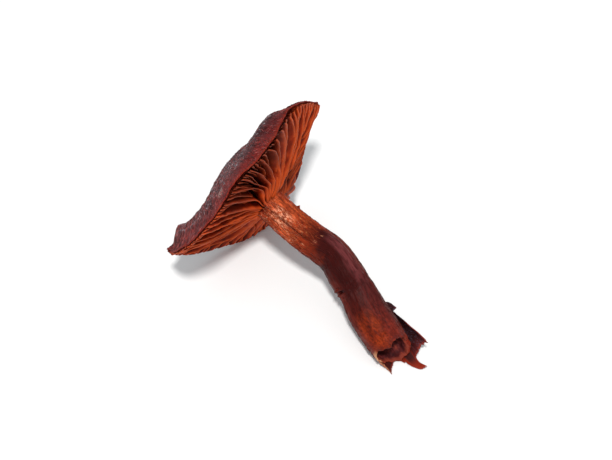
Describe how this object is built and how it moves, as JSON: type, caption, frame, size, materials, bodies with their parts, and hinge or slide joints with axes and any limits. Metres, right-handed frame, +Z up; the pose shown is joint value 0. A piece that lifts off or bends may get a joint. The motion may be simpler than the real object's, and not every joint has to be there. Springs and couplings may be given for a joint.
{
  "type": "dried webcap mushroom",
  "caption": "Dried webcap mushroom lying on its cap's edge and its torn foot: shallow wavy cap, broad distant gills and a curved hollow-footed stem.",
  "frame": {"origin": "middle of the underside of the bounding box, on the table that the mushroom lies on", "axes": "+Z up; +X along the stem from the cap to the torn foot; +Y across, toward the raised side of the cap"},
  "size_m": [0.0434, 0.0338, 0.0331],
  "materials": {
    "cap_skin": "dull, finely fibrous dark maroon skin; rust-orange gills below",
    "stem_skin": "fibrous, rust-orange at the cap, glossy dark maroon in the middle, red-brown at the torn foot"
  },
  "bodies": {
    "root": {"cap": "cap_skin", "stem": "stem_skin"}
  },
  "joints": []
}
